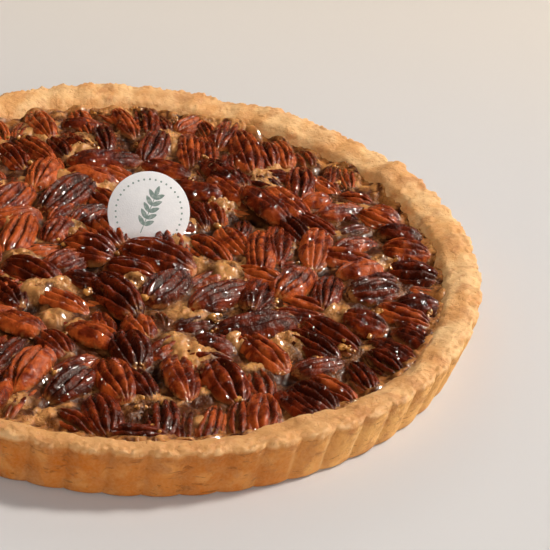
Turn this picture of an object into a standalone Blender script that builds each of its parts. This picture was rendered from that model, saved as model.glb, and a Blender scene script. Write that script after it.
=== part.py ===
# Pecan pie in a fluted shortcrust case, with a small round card standing in it.
# Metres, +Z up. The pie rests on z = 0 with its centre on the Z axis.
import bpy
import bmesh
import math
import random
from mathutils import Matrix, Vector

mm = 0.001
turn = 2 * math.pi

# Pastry case
topRadius = 140 * mm
baseRadius = 135.4 * mm
rimHeight = 20.6 * mm
rimWidth = 12.7 * mm
fluteCount = 64
fluteDepth = 1.9 * mm
footFlute = 0.6
columnsPerFlute = 4
floorThickness = 5 * mm
innerTopRadius = topRadius - rimWidth
innerFloorRadius = 118 * mm
innerFlat = 4.2 * mm
innerDrop = 1.2 * mm
wallColumns = fluteCount
rimLump = 1.1 * mm
edgeCrag = 0.4 * mm
wallRipple = 1.8 * mm
scallopPower = 0.7

# The rim is wider at the back right than at the front left: how far the foot and the inside sit
# from the centre of the outer edge
insideShift = Vector((-1.6, -2.2, 0)) * mm

# Places where the rim stands higher or lower, and where its inner edge lies further out or in:
# angle and half width in degrees, rise or shift
rimSwells = [(100, 20, 1.6 * mm), (74, 9, -1.5 * mm), (62, 6, 1.5 * mm), (32, 8, 2.0 * mm), (8, 14, 1.0 * mm)]
edgeShifts = [(-92, 26, 3 * mm), (-62, 11, -4 * mm), (-36, 8, 2.5 * mm)]

# Outer rows of the case from the foot to the crest: how far in from the edge line, how far
# above or below the rim, and the share of flute, lump and crag that each one takes
crustRows = [
    dict(inward=0.3 * mm, rise=-2.2 * mm, flute=1, lump=0.4, crag=0.5),
    dict(inward=0.7 * mm, rise=-0.2 * mm, flute=0.9, lump=0.7, crag=1),
    dict(inward=6 * mm, rise=0.8 * mm, flute=0.2, lump=1, crag=0.6),
]

# Filling
gap = 0.3 * mm
fillLevel = 14.0 * mm
fillRings = 6
ringSides = 6
fillBump = 0.5 * mm
ringTwist = 0.9
sink = 2.6 * mm
stackLift = 4.2 * mm
spaceAbove = 20 * mm
nutThickness = 0.56
tipHeight = 0.3
endReach = 0.32
shortNut = 31
nutLonger = 1.1
nutWider = 1.12
faceUpShare = 0.16
nutRoll = 24
flatAngle = math.radians(3)

# Card
cardRadius = 16.9 * mm
cardThickness = 0.5 * mm
cardCentre = Vector((2.0, 11.8, 25.6)) * mm
cardLean = math.radians(30.2)
cardSides = 48

smoothAngle = math.radians(40)

# Nuts that stand out: x, y, heading in degrees, length and width, in millimetres
nutsByEye = [
    (36, 52, -60, 28, 12), (24, 48, -15, 22, 13), (9, 67, -25, 24, 12), (-18, 71, 15, 32, 14),
    (34, 66, -55, 33, 14), (-44, 56, 80, 31, 13), (-50, 78, -52, 27, 11), (-22, 21, 48, 20, 12),
    (-33, 37, 58, 32, 16), (-56, 30, 62, 26, 14), (-50, 2, 80, 30, 13), (-35, 8, 70, 20, 12),
    (-50, -40, -60, 21, 11), (-42, -26, -32, 25, 15), (-30, -43, -35, 25, 12), (-22, -29, -8, 16, 9),
    (-9, -37, -57, 31, 16), (11, -29, 58, 27, 15), (-4, -19, -18, 21, 14), (-21, -5, -18, 21, 15),
    (28, 2, -48, 24, 13), (7, -8, -25, 31, 17), (23, 30, -72, 22, 10), (42, 21, 80, 15, 8),
    (52, 37, -48, 30, 15), (49, 1, 86, 36, 12), (22, -53, 22, 19, 9), (33, -33, 42, 32, 14),
    (45, -54, 18, 33, 15), (9, -51, -70, 13, 9), (63, 22, -62, 23, 12), (62, 42, -55, 27, 13),
    (74, 27, -42, 24, 10), (72, 8, 80, 31, 13), (75, -25, 78, 25, 11), (62, -20, 58, 25, 14),
    (62, -44, -8, 20, 9), (65, -35, -20, 21, 12), (75, -55, -42, 27, 14), (47, -69, -52, 27, 13),
    (29, -67, -8, 17, 12), (1, -58, -70, 16, 12), (-13, -56, -70, 15, 9), (-2, -74, -76, 21, 15),
    (-16, -66, -35, 22, 13), (-43, -63, -28, 19, 13), (-30, -72, -50, 17, 12), (17, -88, -80, 26, 13),
    (33, -90, -67, 25, 15), (-37, -88, 75, 28, 14), (-22, -97, 52, 22, 13), (2, -93, -65, 21, 11),
    (-10, -113, -75, 22, 13), (3, -123, 4, 21, 9), (3, 88, 75, 28, 13), (-20, -117, -40, 21, 12),
    (11, -112, -92, 20, 12), (19, -116, -94, 22, 9), (28, -114, -102, 23, 10), (38, -111, -92, 22, 10),
    (46, -107, -92, 22, 12), (84, -80, -70, 20, 10), (94, -71, -50, 19, 11), (98, -63, -46, 24, 12),
    (72, -91, -42, 21, 12), (65, -96, -48, 20, 13), (106, -53, -42, 18, 11), (19, 86, -88, 31, 11),
    (27, 89, -84, 25, 10), (45, 90, -80, 36, 14), (62, 92, -82, 27, 11), (73, 87, -73, 18, 11),
    (84, 74, -96, 20, 8), (91, 73, -89, 23, 10), (58, 70, -7, 14, 9), (69, 63, -93, 26, 12),
    (75, 49, 21, 14, 12), (93, 54, -10, 15, 9), (86, 40, 22, 25, 11), (104, 40, -29, 15, 12),
    (89, 25, 26, 18, 9), (110, 25, -19, 19, 12), (90, 14, 28, 20, 11), (111, 11, -11, 19, 13),
    (90, -7, 21, 19, 12), (112, -6, -12, 21, 14), (94, -22, 22, 22, 13), (115, -18, -16, 15, 8),
    (111, -30, -4, 18, 13), (88, -45, -21, 18, 14), (107, -46, -37, 15, 8), (-59, 68, -57, 22, 12),
    (-49, 101, -68, 25, 12), (-40, 82, -65, 22, 11), (-32, 88, -57, 24, 11), (-30, 106, -71, 25, 10),
    (-20, 92, -78, 24, 11), (-13, 86, -74, 21, 8), (-11, 109, -66, 26, 10), (6, 112, -71, 18, 8),
    (19, 113, 52, 17, 10), (27, 109, -72, 16, 9), (-67, 91, -70, 20, 9), (-19, 112, -44, 16, 8),
]

# Rings of nuts round them: radius, count, lean off the radius and its spread, length, width as a
# share of it, outer end up
nutRings = [
    dict(radius=114, count=56, lean=0, spread=10, length=25.5, wide=0.49, pitch=4),
    dict(radius=89.5, count=43, lean=14, spread=14, length=27, wide=0.5, pitch=7),
]
ringShare = 0.42
fillNuts = dict(tries=4000, reach=113, length=23, share=0.46)
fillBits = dict(tries=3000, reach=119, length=15, share=0.6)


def makeWaves(seed, lowest, highest, count):
    rng = random.Random(seed)
    return [(rng.randint(lowest, highest), rng.uniform(0, turn), rng.uniform(0.5, 1)) for _ in range(count)]


def wobble(waves, angle):
    total = sum(size for _, _, size in waves)
    return sum(size * math.sin(times * angle + start) for times, start, size in waves) / total


def spotEnds(spot):
    half = endReach * spot["length"]
    heading = math.radians(spot["heading"])
    step = Vector((math.cos(heading), math.sin(heading))) * half
    centre = Vector((spot["x"], spot["y"]))
    return centre - step, centre + step


def pointToLine(point, start, end):
    along = end - start
    share = max(0.0, min(1.0, (point - start).dot(along) / along.length_squared))
    return (point - start - along * share).length


def nutDistance(first, second):
    startA, endA = spotEnds(first)
    startB, endB = spotEnds(second)
    return min(pointToLine(startA, startB, endB), pointToLine(endA, startB, endB),
               pointToLine(startB, startA, endA), pointToLine(endB, startA, endA))


def overlap(first, second):
    room = (first["width"] + second["width"]) / 2
    return 1 - nutDistance(first, second) / room


def isClear(spot, spots, share):
    return all(overlap(spot, other) < 1 - share for other in spots)


def nutSpots():
    rng = random.Random(28)
    spots = []

    def spotAt(x, y, heading, length, width, pitch, kind):
        return dict(x=x, y=y, heading=heading, length=length, width=width, pitch=pitch, kind=kind,
                    roll=rng.uniform(-1, 1) * nutRoll, shade=rng.random())

    for x, y, heading, length, width in nutsByEye:
        spots.append(spotAt(x, y, heading, length, width, rng.uniform(-7, 7), "back"))
    for ring in nutRings:
        placed = list(spots)
        for index in range(ring["count"]):
            angle = turn * (index + rng.uniform(-0.2, 0.2)) / ring["count"]
            radius = ring["radius"] + rng.uniform(-2.5, 2.5)
            heading = math.degrees(angle) + ring["lean"] + rng.uniform(-1, 1) * ring["spread"]
            length = ring["length"] * rng.uniform(0.85, 1.12)
            spot = spotAt(radius * math.cos(angle) + insideShift.x / mm,
                          radius * math.sin(angle) + insideShift.y / mm, heading, length,
                          length * ring["wide"] * rng.uniform(0.92, 1.08), -ring["pitch"] + rng.uniform(-6, 6),
                          "face" if rng.random() < faceUpShare else "back")
            if isClear(spot, placed, ringShare):
                spots.append(spot)
    for batch, kind in ((fillNuts, "back"), (fillBits, "bit")):
        for _ in range(batch["tries"]):
            radius = batch["reach"] * math.sqrt(rng.random())
            angle = rng.uniform(0, turn)
            length = batch["length"] * rng.uniform(0.8, 1.15)
            spot = spotAt(radius * math.cos(angle), radius * math.sin(angle), rng.uniform(0, 360),
                          length, length * rng.uniform(0.5, 0.62), rng.uniform(-8, 8), kind)
            if isClear(spot, spots, batch["share"]):
                spots.append(spot)
    for index, spot in enumerate(spots):
        under = [overlap(spot, other) for other in spots[index + 1:]]
        spot["lift"] = max([0.0] + under) * stackLift / mm
    return spots


slowWaves = makeWaves(3, 2, 9, 4)
quickWaves = makeWaves(5, 24, 70, 6)
innerWaves = makeWaves(8, 12, 48, 6)
fillWaves = makeWaves(21, 3, 9, 5)


def addBumps(bumps, angle):
    total = 0.0
    for degrees, half, size in bumps:
        away = abs((math.degrees(angle) - degrees + 180) % 360 - 180)
        total += size * (1 + math.cos(math.pi * min(1.0, away / half))) / 2
    return total


def rimLumps(angle):
    return addBumps(rimSwells, angle) + rimLump * (0.6 * wobble(slowWaves, angle) + wobble(quickWaves, angle))


def innerWall(angle, height):
    # Plain cone where the filling stands, rippled above it
    share = (height - floorThickness) / (rimHeight - floorThickness)
    radius = innerFloorRadius + (innerTopRadius - innerFloorRadius) * share
    above = max(0.0, (height - fillLevel) / (rimHeight - fillLevel))
    return radius + above * (wallRipple * wobble(innerWaves, angle) + addBumps(edgeShifts, angle))


def flute(angle):
    swell = abs(math.cos(fluteCount * angle / 2))
    return fluteDepth * (swell ** scallopPower - 1)


def newObject(name, bm):
    bmesh.ops.recalc_face_normals(bm, faces=bm.faces)
    mesh = bpy.data.meshes.new(name)
    bm.to_mesh(mesh)
    bm.free()
    made = bpy.data.objects.new(name, mesh)
    bpy.context.scene.collection.objects.link(made)
    return made


def shadeRound(made):
    made.data.polygons.foreach_set("use_smooth", [True] * len(made.data.polygons))
    made.data.set_sharp_from_angle(angle=smoothAngle)


def addRing(bm, count, place):
    return [bm.verts.new(place(turn * index / count)) for index in range(count)]


def joinRings(bm, lower, upper):
    step = len(lower) // len(upper)
    count = len(lower)
    for index in range(count):
        after = (index + 1) % count
        low = upper[index // step]
        high = upper[(index // step + (1 if (index + 1) % step == 0 else 0)) % len(upper)]
        bm.faces.new((lower[index], lower[after], low))
        if high is not low:
            bm.faces.new((lower[after], high, low))


def joinFan(bm, inner, outer, perSide):
    # Two neighbouring rings of a disc whose ring n has n points to a side
    for index in range(len(outer)):
        side, step = divmod(index, perSide)
        first = outer[index]
        second = outer[(index + 1) % len(outer)]
        near = inner[(side * (perSide - 1) + step) % len(inner)]
        bm.faces.new((first, second, near))
        if step < perSide - 1:
            far = inner[(side * (perSide - 1) + step + 1) % len(inner)]
            bm.faces.new((second, far, near))


def closeRing(bm, ring, height):
    centre = bm.verts.new(insideShift + Vector((0, 0, height)))
    for index, vertex in enumerate(ring):
        bm.faces.new((vertex, ring[(index + 1) % len(ring)], centre))


def polar(radius, angle, height):
    return Vector((radius * math.cos(angle), radius * math.sin(angle), height))


def makeCrust():
    rng = random.Random(11)
    bm = bmesh.new()
    columns = fluteCount * columnsPerFlute

    def outerPlace(row):
        def place(angle):
            crag = row["crag"] * edgeCrag * rng.uniform(-1, 1)
            rise = row["rise"] + row["lump"] * rimLumps(angle) + crag
            return polar(topRadius - row["inward"] + row["flute"] * flute(angle) + crag, angle,
                         rimHeight + rise)
        return place

    def innerPlace(height, lumpShare, drop=0):
        return lambda angle: insideShift + polar(innerWall(angle, height), angle,
                                                 height - drop + lumpShare * rimLumps(angle))

    foot = addRing(bm, columns, lambda angle: insideShift + polar(
        baseRadius + footFlute * flute(angle), angle, 0))
    rows = [foot] + [addRing(bm, columns, outerPlace(row)) for row in crustRows]
    rows.append(addRing(bm, wallColumns, innerPlace(rimHeight, 0.8, innerDrop)))
    rows.append(addRing(bm, wallColumns, innerPlace(rimHeight - innerFlat, 0)))
    rows.append(addRing(bm, wallColumns, innerPlace(floorThickness, 0)))
    for lower, upper in zip(rows, rows[1:]):
        joinRings(bm, lower, upper)
    closeRing(bm, rows[-1], floorThickness)
    closeRing(bm, foot, 0)
    return newObject("crust", bm)


def makeCore():
    bm = bmesh.new()
    levels = [[bm.verts.new(insideShift + Vector((0, 0, fillLevel)))]]
    edgeRadius = innerWall(0, fillLevel) - 3 * gap
    for ring in range(1, fillRings + 1):
        radius = edgeRadius * ring / fillRings
        bump = fillBump if ring < fillRings else 0
        levels.append(addRing(bm, ringSides * ring, lambda angle: insideShift + polar(
            radius, angle, fillLevel + bump * wobble(fillWaves, angle + ringTwist * ring))))
    for ring in range(1, fillRings + 1):
        joinFan(bm, levels[ring - 1], levels[ring], ring)
    foot = addRing(bm, len(levels[-1]), lambda angle: insideShift + polar(
        innerFloorRadius - 2 * gap, angle, floorThickness + gap))
    joinRings(bm, levels[-1], foot)
    closeRing(bm, foot, floorThickness + gap)
    return newObject("pecan_filling", bm)


def nutSection(kind):
    if kind == "bit":
        return [(-1, -0.05), (-0.45, 1), (0.5, 0.85), (1, -0.05)]
    if kind == "face":
        return [(-1, -0.05), (-0.75, 0.95), (0, 0.72), (0.75, 0.95), (1, -0.05)]
    return [(-1, -0.05), (-0.55, 0.93), (0, 0.68), (0.55, 0.93), (1, -0.05)]


def makeNut(name, spot):
    half = nutLonger * spot["length"] / 2 * mm
    side = nutWider * spot["width"] / 2 * mm
    tall = spot["width"] * nutThickness * mm
    stations = [(-0.6, 0.76, 0.86), (0, 1, 1), (0.6, 0.8, 0.9)]
    if spot["length"] < shortNut:
        stations = [(-0.45, 0.92, 0.95), (0.45, 0.94, 0.92)]
    bm = bmesh.new()
    rings = [[bm.verts.new((along * half, across * wide * side, up * high * tall))
              for across, up in nutSection(spot["kind"])] for along, wide, high in stations]
    for first, second in zip(rings, rings[1:]):
        for index in range(len(first)):
            after = (index + 1) % len(first)
            bm.faces.new((first[index], first[after], second[after], second[index]))
    for ring, end in ((rings[0], -half), (rings[-1], half)):
        tip = bm.verts.new((end, 0, tipHeight * tall))
        for index in range(len(ring)):
            bm.faces.new((ring[index], ring[(index + 1) % len(ring)], tip))
    bmesh.ops.triangulate(bm, faces=bm.faces)
    foot = fillLevel - sink + spot["lift"] * mm
    place = (Matrix.Translation((spot["x"] * mm, spot["y"] * mm, foot))
             @ Matrix.Rotation(math.radians(spot["heading"]), 4, "Z")
             @ Matrix.Rotation(math.radians(spot["pitch"]), 4, "Y")
             @ Matrix.Rotation(math.radians(spot["roll"]), 4, "X"))
    bmesh.ops.transform(bm, matrix=place, verts=bm.verts)
    return newObject(name, bm)


def cardFrame():
    # The card's own Z axis is the side that faces the front
    facing = Vector((0, -math.cos(cardLean), math.sin(cardLean)))
    upward = Vector((0, math.sin(cardLean), math.cos(cardLean)))
    frame = Matrix((upward.cross(facing), upward, facing)).transposed().to_4x4()
    return Matrix.Translation(cardCentre) @ frame


def makeDisc(name, radius, thickness):
    bm = bmesh.new()
    bmesh.ops.create_cone(bm, cap_ends=True, cap_tris=True, segments=cardSides,
                          radius1=radius, radius2=radius, depth=thickness)
    bmesh.ops.transform(bm, matrix=cardFrame(), verts=bm.verts)
    return newObject(name, bm)


def makeInnerSpace():
    # What the nuts may fill: the inside of the case, drawn in by the gap
    bm = bmesh.new()
    heights = [0, rimHeight - innerFlat, rimHeight, rimHeight + spaceAbove]
    rows = [addRing(bm, wallColumns, lambda angle: insideShift + polar(
        innerWall(angle, min(height, rimHeight)) - 2 * gap, angle, height)) for height in heights]
    for lower, upper in zip(rows, rows[1:]):
        joinRings(bm, lower, upper)
    closeRing(bm, rows[0], heights[0])
    closeRing(bm, rows[-1], heights[-1])
    return newObject("inner_space", bm)


def applyBoolean(target, operation, solver, other=None, group=None):
    cut = target.modifiers.new("join", "BOOLEAN")
    cut.operation = operation
    cut.solver = solver
    if group:
        cut.operand_type = "COLLECTION"
        cut.collection = group
    else:
        cut.object = other
    bpy.context.view_layer.objects.active = target
    bpy.ops.object.modifier_apply(modifier=cut.name)


def shellVolume(faces):
    return sum(face.verts[0].co.dot(face.verts[1].co.cross(face.verts[2].co)) for face in faces) / 6


def keepLargestShell(target):
    bm = bmesh.new()
    bm.from_mesh(target.data)
    bmesh.ops.triangulate(bm, faces=bm.faces)
    left = set(bm.faces)
    shells = []
    while left:
        queue = [left.pop()]
        shell = list(queue)
        while queue:
            for edge in queue.pop().edges:
                for face in edge.link_faces:
                    if face in left:
                        left.remove(face)
                        queue.append(face)
                        shell.append(face)
        shells.append(shell)
    shells.sort(key=shellVolume)
    for shell in shells[:-1]:
        bmesh.ops.delete(bm, geom=shell, context="FACES")
    bmesh.ops.delete(bm, geom=[vertex for vertex in bm.verts if not vertex.link_faces], context="VERTS")
    bmesh.ops.dissolve_limit(bm, angle_limit=flatAngle, verts=bm.verts, edges=bm.edges)
    bmesh.ops.triangulate(bm, faces=bm.faces)
    bm.to_mesh(target.data)
    bm.free()


def removeObject(made):
    mesh = made.data
    bpy.data.objects.remove(made, do_unlink=True)
    bpy.data.meshes.remove(mesh)


def makeFilling():
    core = makeCore()
    group = bpy.data.collections.new("nuts")
    for index, spot in enumerate(nutSpots()):
        nut = makeNut("nut_%03d" % index, spot)
        group.objects.link(nut)
    applyBoolean(core, "UNION", "MANIFOLD", group=group)
    for nut in list(group.objects):
        removeObject(nut)
    bpy.data.collections.remove(group)
    space = makeInnerSpace()
    applyBoolean(core, "INTERSECT", "MANIFOLD", other=space)
    removeObject(space)
    slot = makeDisc("slot", cardRadius + gap, cardThickness + 2 * gap)
    applyBoolean(core, "DIFFERENCE", "MANIFOLD", other=slot)
    removeObject(slot)
    keepLargestShell(core)
    return core


def giveMaterial(made, name, colour, roughness):
    material = bpy.data.materials.new(name)
    material.use_nodes = True
    shader = material.node_tree.nodes["Principled BSDF"]
    shader.inputs["Base Color"].default_value = (*colour, 1)
    shader.inputs["Roughness"].default_value = roughness
    shader.inputs["Metallic"].default_value = 0
    made.data.materials.clear()
    made.data.materials.append(material)


def main():
    for old in list(bpy.data.objects):
        bpy.data.objects.remove(old, do_unlink=True)
    crust = makeCrust()
    filling = makeFilling()
    card = makeDisc("paper_disc", cardRadius, cardThickness)
    shadeRound(crust)
    shadeRound(card)
    giveMaterial(crust, "pastry", (0.68, 0.40, 0.16), 0.8)
    giveMaterial(filling, "nuts", (0.28, 0.06, 0.015), 0.3)
    giveMaterial(card, "card", (0.80, 0.80, 0.79), 0.7)


main()
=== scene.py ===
import math
import random

import bpy
import numpy as np
from mathutils import Matrix, Vector, noise


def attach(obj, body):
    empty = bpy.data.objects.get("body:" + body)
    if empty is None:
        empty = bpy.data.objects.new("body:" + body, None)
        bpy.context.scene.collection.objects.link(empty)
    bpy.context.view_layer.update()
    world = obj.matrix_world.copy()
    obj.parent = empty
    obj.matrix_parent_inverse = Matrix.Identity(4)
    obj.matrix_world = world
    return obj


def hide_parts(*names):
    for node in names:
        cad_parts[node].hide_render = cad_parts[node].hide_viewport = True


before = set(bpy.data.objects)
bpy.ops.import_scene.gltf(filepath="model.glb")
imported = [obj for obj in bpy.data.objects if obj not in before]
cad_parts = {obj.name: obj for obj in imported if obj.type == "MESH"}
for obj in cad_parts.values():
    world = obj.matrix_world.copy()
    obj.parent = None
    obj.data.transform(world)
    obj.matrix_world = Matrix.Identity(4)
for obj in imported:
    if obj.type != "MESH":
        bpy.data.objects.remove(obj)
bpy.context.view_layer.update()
mm = 0.001
turn = 2 * math.pi

# Sizes that the solids are made to as well
pie = {
    "rimHeight": 20.6 * mm,
    "fluteCount": 64,
    "fluteDepth": 1.9 * mm,
    "scallopPower": 0.7,
    "floorThickness": 5 * mm,
    "rimLump": 1.1 * mm,
    "wallRipple": 1.8 * mm,
    "fillLevel": 14.0 * mm,
    "sink": 2.6 * mm,  # how deep a nut lies in the filling
    "insideShift": Vector((-1.6, -2.2, 0)) * mm,
    "nutRoll": 24,  # most roll in degrees
    "nutThickness": 0.56,  # share of a nut's width
    "stackLift": 4.2,  # millimetres, for a nut that lies wholly over another
}


# Small tools for every piece

def deselectAll():
    if bpy.context.object and bpy.context.object.mode != "OBJECT":
        bpy.ops.object.mode_set(mode="OBJECT")
    bpy.ops.object.select_all(action="DESELECT")


def makeActive(obj):
    deselectAll()
    obj.select_set(True)
    bpy.context.view_layer.objects.active = obj


def applyPlace(obj):
    makeActive(obj)
    bpy.ops.object.transform_apply(location=True, rotation=True, scale=True)


def giveName(obj, name):
    obj.name = name
    obj.data.name = name


def joinAll(objs, name):
    deselectAll()
    for obj in objs:
        obj.select_set(True)
    bpy.context.view_layer.objects.active = objs[0]
    if len(objs) > 1:
        bpy.ops.object.join()
    joined = bpy.context.view_layer.objects.active
    giveName(joined, name)
    applyPlace(joined)
    return joined


def weldSeams(obj, distance=0.004 * mm):
    makeActive(obj)
    bpy.ops.object.mode_set(mode="EDIT")
    bpy.ops.mesh.select_all(action="SELECT")
    bpy.ops.mesh.remove_doubles(threshold=distance)
    bpy.ops.mesh.normals_make_consistent(inside=False)
    bpy.ops.object.mode_set(mode="OBJECT")


def shadeRound(obj, degrees=180):
    makeActive(obj)
    bpy.ops.object.shade_smooth_by_angle(angle=math.radians(degrees))


def readPoints(obj):
    points = np.empty(len(obj.data.vertices) * 3)
    obj.data.vertices.foreach_get("co", points)
    return points.reshape(-1, 3)


def readNormals(obj):
    normals = np.empty(len(obj.data.vertices) * 3)
    obj.data.vertex_normals.foreach_get("vector", normals)
    return normals.reshape(-1, 3)


def writePoints(obj, points):
    obj.data.vertices.foreach_set("co", np.ascontiguousarray(points, dtype=float).ravel())
    obj.data.update()


def writeMark(obj, name, values):
    mark = obj.data.attributes.get(name) or obj.data.attributes.new(name, "FLOAT", "POINT")
    mark.data.foreach_set("value", np.ascontiguousarray(values, dtype=float).ravel())


def pushOut(obj, push):
    writePoints(obj, readPoints(obj) + readNormals(obj) * push[:, None])


def copyObject(model):
    copied = model.copy()
    copied.data = model.data.copy()
    bpy.context.scene.collection.objects.link(copied)
    return copied


def roughen(points, scale, seed, octaves):
    shift = Vector((seed * 7.3, seed * 3.1, seed * 5.7))
    return np.array([noise.fractal(Vector(point) / scale + shift, 1.0, 2.0, octaves) for point in points])


def smoothStep(values, low, high):
    share = np.clip((values - low) / (high - low), 0, 1)
    return share * share * (3 - 2 * share)


def smoothFall(values, low, high):
    return smoothStep(-values, -high, -low)


def finishPiece(obj, material, slot, *nodes):
    obj.data.materials.clear()
    obj.data.materials.append(material)
    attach(obj, "root")
    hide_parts(*nodes)


# Material tools

def newMaterial(name):
    material = bpy.data.materials.new(name)
    material.use_nodes = True
    return material, material.node_tree, material.node_tree.nodes["Principled BSDF"]


def addNode(tree, kind, **settings):
    node = tree.nodes.new(kind)
    for key, value in settings.items():
        setattr(node, key, value)
    return node


def setSockets(node, values):
    for name, value in values.items():
        node.inputs[name].default_value = value


def connect(tree, source, target):
    tree.links.new(source, target)


def addMath(tree, operation, first, second, clamp=False):
    node = addNode(tree, "ShaderNodeMath", operation=operation, use_clamp=clamp)
    for socket, value in zip(node.inputs, (first, second)):
        if isinstance(value, (int, float)):
            socket.default_value = value
        else:
            connect(tree, value, socket)
    return node.outputs[0]


def addProduct(tree, first, second, clamp=False):
    return addMath(tree, "MULTIPLY", first, second, clamp)


def addStep(tree, value, low, high):
    node = addNode(tree, "ShaderNodeMapRange", interpolation_type="SMOOTHSTEP")
    setSockets(node, {"From Min": low, "From Max": high})
    connect(tree, value, node.inputs["Value"])
    return node.outputs["Result"]


def addMix(tree, factor, first, second):
    node = addNode(tree, "ShaderNodeMix", data_type="RGBA")
    connect(tree, factor, node.inputs["Factor"])
    for socket, value in ((node.inputs[6], first), (node.inputs[7], second)):
        if isinstance(value, tuple):
            socket.default_value = (*value, 1)
        else:
            connect(tree, value, socket)
    return node.outputs[2]


def addTint(tree, colour, mask, share, tint, clamp=False):
    return addMix(tree, addProduct(tree, mask, share, clamp), colour, tint)


def addRamp(tree, value, stops):
    node = addNode(tree, "ShaderNodeValToRGB")
    elements = node.color_ramp.elements
    while len(elements) < len(stops):
        elements.new(0.5)
    for element, (place, colour) in zip(elements, stops):
        element.position = place
        element.color = (*colour, 1)
    connect(tree, value, node.inputs["Fac"])
    return node.outputs["Color"]


def addMark(tree, name):
    return addNode(tree, "ShaderNodeAttribute", attribute_name=name).outputs["Fac"]


def addBump(tree, height, distance, strength=1.0, under=None):
    node = addNode(tree, "ShaderNodeBump")
    setSockets(node, {"Strength": strength, "Distance": distance})
    connect(tree, height, node.inputs["Height"])
    if under:
        connect(tree, under, node.inputs["Normal"])
    return node.outputs["Normal"]


def addObjectPlace(tree):
    return addNode(tree, "ShaderNodeTexCoord").outputs["Object"]


def makePatchGroup():
    # Soft patches at one scale: 0 between them, 1 inside
    group = bpy.data.node_groups.new("foodPatches", "ShaderNodeTree")
    sockets = {"Scale": 100.0, "Detail": 4.0, "Low": 0.4, "High": 0.6, "Twist": 0.0, "Flat": 1.0}
    for name, value in sockets.items():
        socket = group.interface.new_socket(name, in_out="INPUT", socket_type="NodeSocketFloat")
        socket.default_value = value
    group.interface.new_socket("Mask", in_out="OUTPUT", socket_type="NodeSocketFloat")
    start = addNode(group, "NodeGroupInput")
    end = addNode(group, "NodeGroupOutput")
    cloud = addNode(group, "ShaderNodeTexNoise")
    step = addNode(group, "ShaderNodeMapRange", interpolation_type="SMOOTHSTEP")
    stretch = addNode(group, "ShaderNodeCombineXYZ")
    setSockets(stretch, {"X": 1, "Y": 1})
    flatten = addNode(group, "ShaderNodeVectorMath", operation="MULTIPLY")
    connect(group, addObjectPlace(group), flatten.inputs[0])
    connect(group, stretch.outputs["Vector"], flatten.inputs[1])
    connect(group, flatten.outputs["Vector"], cloud.inputs["Vector"])
    connect(group, cloud.outputs["Fac"], step.inputs["Value"])
    targets = {
        "Scale": cloud.inputs["Scale"], "Detail": cloud.inputs["Detail"], "Twist": cloud.inputs["Distortion"],
        "Low": step.inputs["From Min"], "High": step.inputs["From Max"], "Flat": stretch.inputs["Z"],
    }
    for name, target in targets.items():
        connect(group, start.outputs[name], target)
    connect(group, step.outputs["Result"], end.inputs["Mask"])
    return group


def addPatches(tree, scale, low, high, detail=4.0, twist=0.0, flat=1.0):
    node = addNode(tree, "ShaderNodeGroup", node_tree=patchGroup)
    setSockets(node, {"Scale": scale, "Detail": detail, "Low": low, "High": high})
    setSockets(node, {"Twist": twist, "Flat": flat})
    return node.outputs["Mask"]


def addClouds(tree, scale, low, high, detail):
    # The same patches outside the group, for the glaze's own normal
    cloud = addNode(tree, "ShaderNodeTexNoise")
    setSockets(cloud, {"Scale": scale, "Detail": detail})
    connect(tree, addObjectPlace(tree), cloud.inputs["Vector"])
    return addStep(tree, cloud.outputs["Fac"], low, high)


patchGroup = makePatchGroup()


# The rule that says where each nut lies, the same as in the solids

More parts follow.
